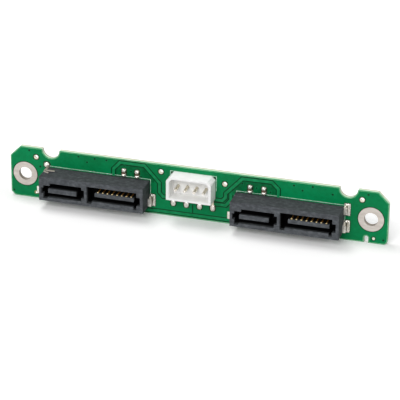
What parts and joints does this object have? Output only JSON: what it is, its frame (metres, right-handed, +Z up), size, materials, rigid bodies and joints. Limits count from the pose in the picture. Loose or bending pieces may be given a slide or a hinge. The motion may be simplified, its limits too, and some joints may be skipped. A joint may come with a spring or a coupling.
{
  "type": "drive backplane board",
  "caption": "Narrow circuit board with drive sockets and a power header on its front, screw rings at its ends, and round notches in its top edge.",
  "frame": {"origin": "midway between the two screw holes, on the back face of the board, which seats on the chassis", "axes": "+X along the board to the right as seen from the front, +Y out of the back face, +Z up across the board; every component stands out along -Y"},
  "size_m": [0.1386, 0.0099, 0.0195],
  "materials": {
    "board_laminate": "green solder mask over glass-epoxy laminate, pale laminate at the cut edges",
    "tinned_land": "flat tinned copper, warm grey",
    "tin_plate": "bright tin plate, partly wetted with solder",
    "gold_contact": "gold-plated spring strip",
    "socket_plastic": "dark grey glass-filled moulding, fine grain",
    "header_plastic": "white nylon moulding, smooth",
    "capacitor_ceramic": "brown fired ceramic"
  },
  "bodies": {
    "root": {"circuit_board": "board_laminate", "screw_ring_left": "tinned_land", "screw_ring_right": "tinned_land", "eyelet_left_end": "tinned_land", "eyelet_left_of_header": "tinned_land", "eyelet_right_of_header": "tinned_land", "eyelet_right_end": "tinned_land", "test_pad": "tinned_land", "left_socket_housing": "socket_plastic", "left_data_contact_1": "gold_contact", "left_data_contact_2": "gold_contact", "left_data_contact_3": "gold_contact", "left_data_contact_4": "gold_contact", "left_data_contact_5": "gold_contact", "left_data_contact_6": "gold_contact", "left_data_contact_7": "gold_contact", "left_power_contact_1": "gold_contact", "left_power_contact_2": "gold_contact", "left_power_contact_3": "gold_contact", "left_power_contact_4": "gold_contact", "left_power_contact_5": "gold_contact", "left_power_contact_6": "gold_contact", "left_power_contact_7": "gold_contact", "left_power_contact_8": "gold_contact", "right_socket_housing": "socket_plastic", "right_data_contact_1": "gold_contact", "right_data_contact_2": "gold_contact", "right_data_contact_3": "gold_contact", "right_data_contact_4": "gold_contact", "right_data_contact_5": "gold_contact", "right_data_contact_6": "gold_contact", "right_data_contact_7": "gold_contact", "right_power_contact_1": "gold_contact", "right_power_contact_2": "gold_contact", "right_power_contact_3": "gold_contact", "right_power_contact_4": "gold_contact", "right_power_contact_5": "gold_contact", "right_power_contact_6": "gold_contact", "right_power_contact_7": "gold_contact", "right_power_contact_8": "gold_contact", "left_socket_clip_outer_lower": "tin_plate", "left_socket_clip_outer_upper": "tin_plate", "left_socket_clip_inner": "tin_plate", "right_socket_clip_inner": "tin_plate", "right_socket_clip_outer_lower": "tin_plate", "right_socket_clip_outer_upper": "tin_plate", "header_housing": "header_plastic", "header_pin_1": "tin_plate", "header_pin_2": "tin_plate", "header_pin_3": "tin_plate", "header_pin_4": "tin_plate", "capacitor_1_ceramic": "capacitor_ceramic", "capacitor_1_ends": "tin_plate", "capacitor_2_ceramic": "capacitor_ceramic", "capacitor_2_ends": "tin_plate", "capacitor_3_ceramic": "capacitor_ceramic", "capacitor_3_ends": "tin_plate", "capacitor_4_ceramic": "capacitor_ceramic", "capacitor_4_ends": "tin_plate"}
  },
  "joints": []
}
